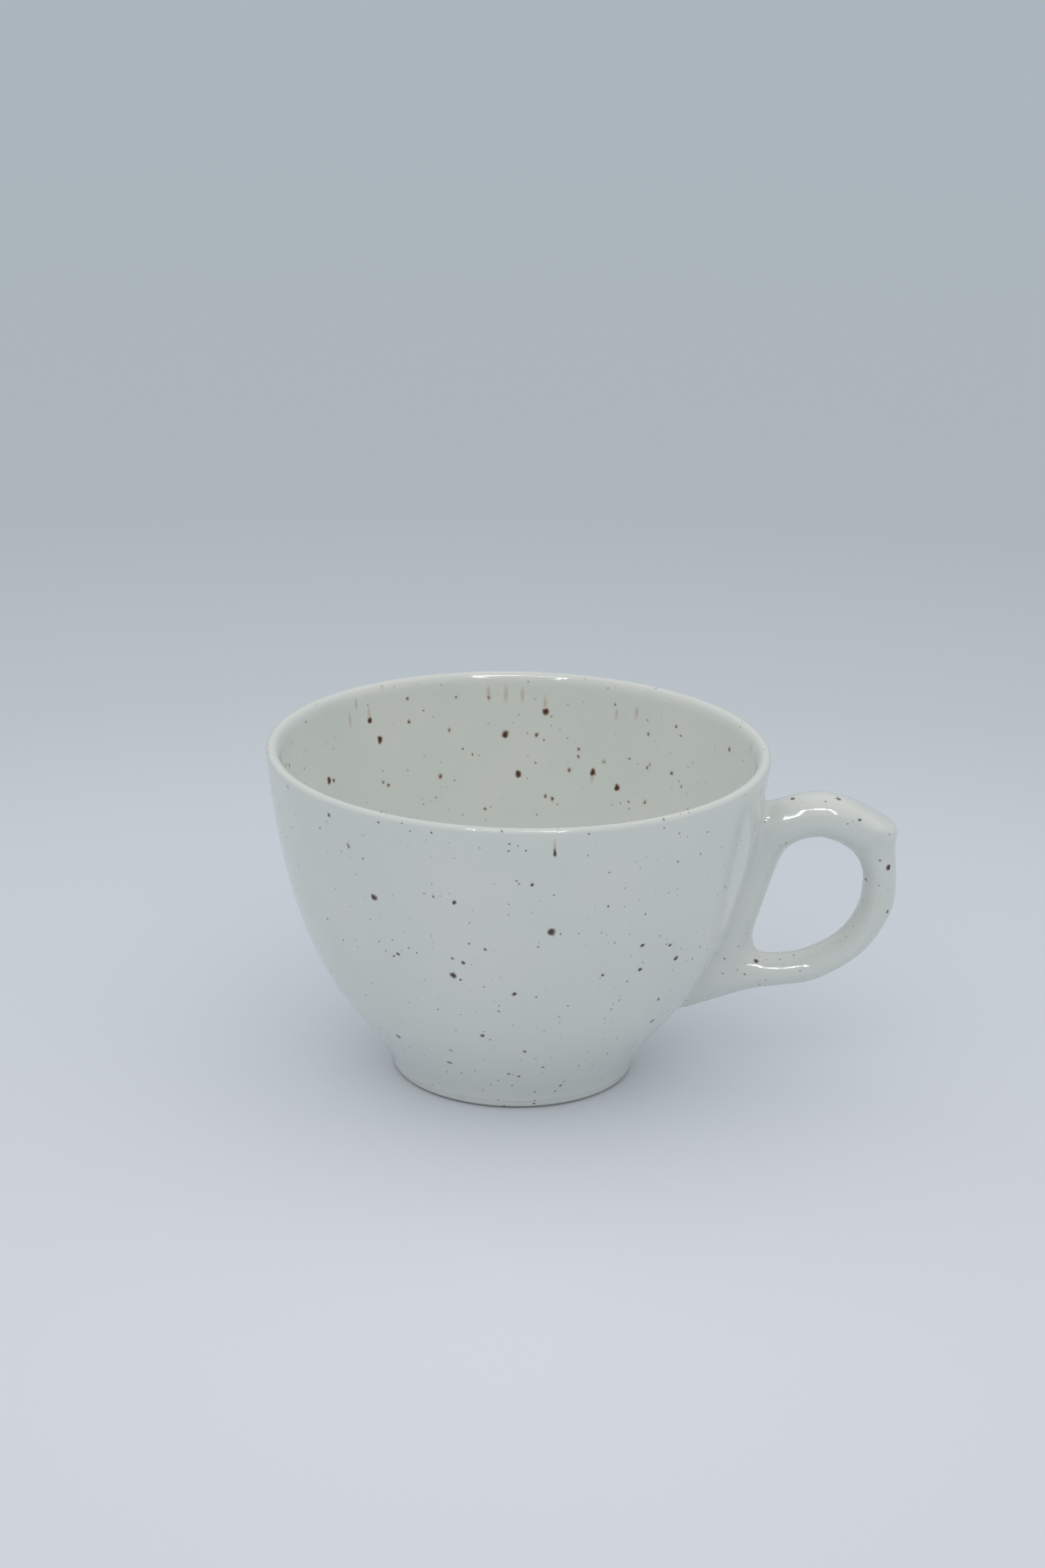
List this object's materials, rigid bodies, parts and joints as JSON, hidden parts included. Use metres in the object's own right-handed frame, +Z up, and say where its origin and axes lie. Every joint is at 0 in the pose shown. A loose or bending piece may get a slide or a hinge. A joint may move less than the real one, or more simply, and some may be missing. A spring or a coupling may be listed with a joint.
{
  "type": "lungo cup",
  "caption": "Low rounded porcelain coffee cup on a foot ring, with a closed ring handle and thumb spur; holds a long espresso.",
  "frame": {"origin": "on the surface that the cup stands on, under the middle of its overall length, which is from the rim's far side to the handle's outermost point", "axes": "+Z up along the bowl's axis, +X from the bowl towards the handle, +Y across the handle"},
  "size_m": [0.1138, 0.09, 0.061],
  "materials": {
    "glaze": "gloss white porcelain glaze with fine iron-brown speckles",
    "foot": "glazed flank with a bare, finely ground standing edge"
  },
  "bodies": {
    "root": {"bowl": "glaze", "foot_ring": "foot", "handle": "glaze", "handle_slip": "glaze"}
  },
  "joints": []
}
